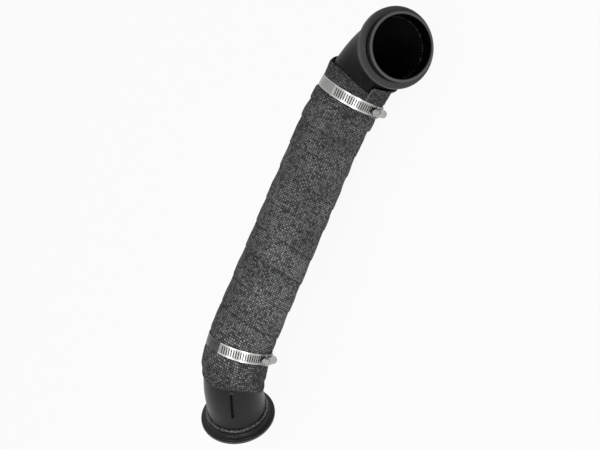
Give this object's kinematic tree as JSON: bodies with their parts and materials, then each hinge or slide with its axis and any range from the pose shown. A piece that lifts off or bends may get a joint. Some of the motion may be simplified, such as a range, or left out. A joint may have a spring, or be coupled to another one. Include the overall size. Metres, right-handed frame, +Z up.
{
  "type": "turbo downpipe",
  "caption": "Bent steel downpipe with a spigot flange on the turbo end, a flared flange on the outlet, a woven heat wrap and worm clamps, lying on its side.",
  "frame": {"origin": "middle of the base of the bounding box, on the floor that the pipe lies on", "axes": "+X along the pipe from the outlet towards the turbo end, +Z up"},
  "size_m": [0.581, 0.1935, 0.1265],
  "materials": {
    "black_tube": "satin black coating",
    "black_flange": "satin black coating",
    "weld": "coated weld bead",
    "wrap": "woven charcoal strap",
    "clamp_steel": "bright stainless steel"
  },
  "bodies": {
    "root": {"downpipe_tube": "black_tube", "inlet_flange": "black_flange", "outlet_flange": "black_flange", "inlet_weld": "weld", "outlet_weld": "weld", "locating_rib": "black_flange", "upper_rib_tack": "weld", "lower_rib_tack": "weld", "heat_wrap": "wrap", "lower_clamp_band": "clamp_steel", "lower_clamp_housing": "clamp_steel", "lower_clamp_saddle": "clamp_steel", "lower_clamp_screw": "clamp_steel", "upper_clamp_band": "clamp_steel", "upper_clamp_housing": "clamp_steel", "upper_clamp_saddle": "clamp_steel", "upper_clamp_screw": "clamp_steel"}
  },
  "joints": []
}
